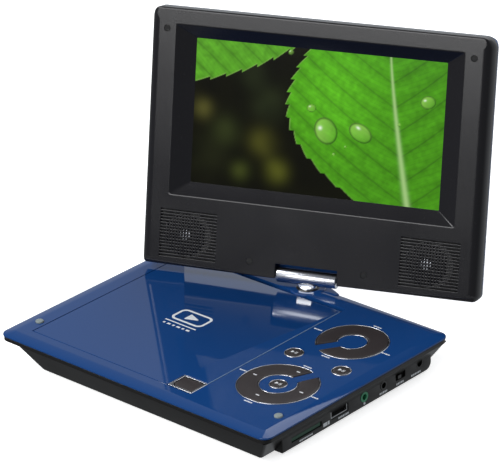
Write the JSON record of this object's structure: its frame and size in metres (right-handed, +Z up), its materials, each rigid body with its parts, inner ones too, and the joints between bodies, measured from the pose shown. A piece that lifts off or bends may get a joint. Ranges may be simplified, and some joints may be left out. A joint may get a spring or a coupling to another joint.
{
  "type": "portable disc player",
  "caption": "Wedge-sided portable disc player with a flat gloss deck, lift-up disc lid, ring keypads and a screen on a swivel and tilt hinge that folds flat over the base.",
  "frame": {"origin": "Centre of the base's footprint, on the flat label panel of the underside; the rubber feet stand 1.6 mm below it.", "axes": "+Z up. +X to the right along the long side of the base, towards the sockets. +Y to the back, where the screen's hinge is. The user sits on the -Y side."},
  "size_m": [0.2169, 0.2343, 0.1766],
  "materials": {
    "case_black": "satin",
    "deck_blue": "gloss lacquer",
    "frame_black": "semi gloss",
    "picture": "lit picture behind glass",
    "key_dark": "satin",
    "chrome_trim": "bright",
    "steel_part": "plain",
    "board_green": "solder mask",
    "cell_blue": "shrink wrap",
    "foot_rubber": "matt",
    "jack_green": "plain",
    "jack_black": "plain",
    "card_green": "plain",
    "lens_clear": "clear",
    "sled_grey": "plain",
    "bumper_silver": "soft"
  },
  "bodies": {
    "base": {"bottom_case": "case_black", "top_deck": "deck_blue", "rubber_feet": "foot_rubber", "case_screws": "steel_part", "battery_pack": "cell_blue", "battery_cover": "case_black", "disc_tray": "sled_grey", "loader_chassis": "steel_part", "chassis_dampers": "foot_rubber", "guide_rods": "steel_part", "spindle_motor": "steel_part", "sled_motor": "steel_part", "main_board": "board_green", "keypad_board": "board_green", "card_socket": "steel_part", "memory_card": "card_green", "usb_socket": "steel_part", "headphone_jack": "jack_green", "av_jack": "jack_black", "dc_jack": "jack_black", "power_switch_body": "sled_grey", "key_trims": "chrome_trim", "open_button_frame": "chrome_trim", "deck_bumpers": "bumper_silver", "lid_hinge_pins": "steel_part", "swivel_bush": "jack_black"},
    "lid": {"disc_lid": "deck_blue", "lid_hook": "case_black"},
    "open_key": {"open_button": "key_dark", "latch_catch": "sled_grey"},
    "rear_pad": {"rear_ring_pad": "key_dark"},
    "front_pad": {"front_ring_pad": "key_dark"},
    "play": {"play_key": "key_dark"},
    "left": {"left_key": "key_dark"},
    "right": {"right_key": "key_dark"},
    "switch": {"power_switch_knob": "jack_black"},
    "turntable": {"disc_hub": "jack_black", "hub_grips": "steel_part"},
    "sled": {"optical_pickup": "sled_grey", "pickup_lens": "lens_clear"},
    "screw": {"leadscrew": "steel_part"},
    "swivel": {"swivel_post": "chrome_trim", "swivel_washer": "steel_part", "hinge_barrel": "chrome_trim"},
    "screen": {"screen_front_frame": "frame_black", "screen_rear_cover": "deck_blue", "lcd_panel": "picture", "lcd_shield": "steel_part", "lcd_board": "board_green", "speaker_grilles": "frame_black", "speaker_units": "jack_black", "frame_screw_caps": "foot_rubber", "tilt_shaft": "steel_part", "shaft_screws": "steel_part"}
  },
  "joints": [
    {"name": "screen_swivel", "type": "hinge", "parent": "base", "child": "swivel", "pos_m": [0, 0.0745, 0.0198], "axis": [0, 0, -1], "range_deg": [-157.9, 22.1]},
    {"name": "screen_tilt", "type": "hinge", "parent": "swivel", "child": "screen", "pos_m": [0, 0.0745, 0.0258], "axis": [-0.9265, -0.3762, 0], "range_deg": [-104.2, 25]},
    {"name": "lid_hinge", "type": "hinge", "parent": "base", "child": "lid", "pos_m": [-0.02575, 0.0675, 0.0156], "axis": [-1, 0, 0], "range_deg": [0, 5.5]},
    {"name": "open_press", "type": "slide", "parent": "base", "child": "open_key", "axis": [0, 0, -1], "range_m": [0, 0.001], "stiffness_N_per_m": 300},
    {"name": "rear_pad_press", "type": "slide", "parent": "base", "child": "rear_pad", "axis": [0, 0, -1], "range_m": [0, 0.0004], "stiffness_N_per_m": 400},
    {"name": "front_pad_press", "type": "slide", "parent": "base", "child": "front_pad", "axis": [0, 0, -1], "range_m": [0, 0.0004], "stiffness_N_per_m": 400},
    {"name": "play_press", "type": "slide", "parent": "base", "child": "play", "axis": [0, 0, -1], "range_m": [0, 0.0004], "stiffness_N_per_m": 400},
    {"name": "left_key_press", "type": "slide", "parent": "base", "child": "left", "axis": [0, 0, -1], "range_m": [0, 0.0004], "stiffness_N_per_m": 400},
    {"name": "right_key_press", "type": "slide", "parent": "base", "child": "right", "axis": [0, 0, -1], "range_m": [0, 0.0004], "stiffness_N_per_m": 400},
    {"name": "power_slide", "type": "slide", "parent": "base", "child": "switch", "axis": [0, 1, 0], "range_m": [0, 0.003]},
    {"name": "disc_spin", "type": "hinge", "parent": "base", "child": "turntable", "pos_m": [-0.02575, -0.0012, 0.0156], "axis": [0, 0, 1], "continuous": true},
    {"name": "sled_slide", "type": "slide", "parent": "base", "child": "sled", "axis": [0, -1, 0], "range_m": [-0.012, 0.02]},
    {"name": "leadscrew_spin", "type": "hinge", "parent": "base", "child": "screw", "pos_m": [0.00325, -0.04, 0.0085], "axis": [0, -1, 0], "range_deg": [-1450, 2410]}
  ],
  "couplings": [
    {"joint": "leadscrew_spin", "follows": "sled_slide", "rad_per_m": 2094.4}
  ]
}
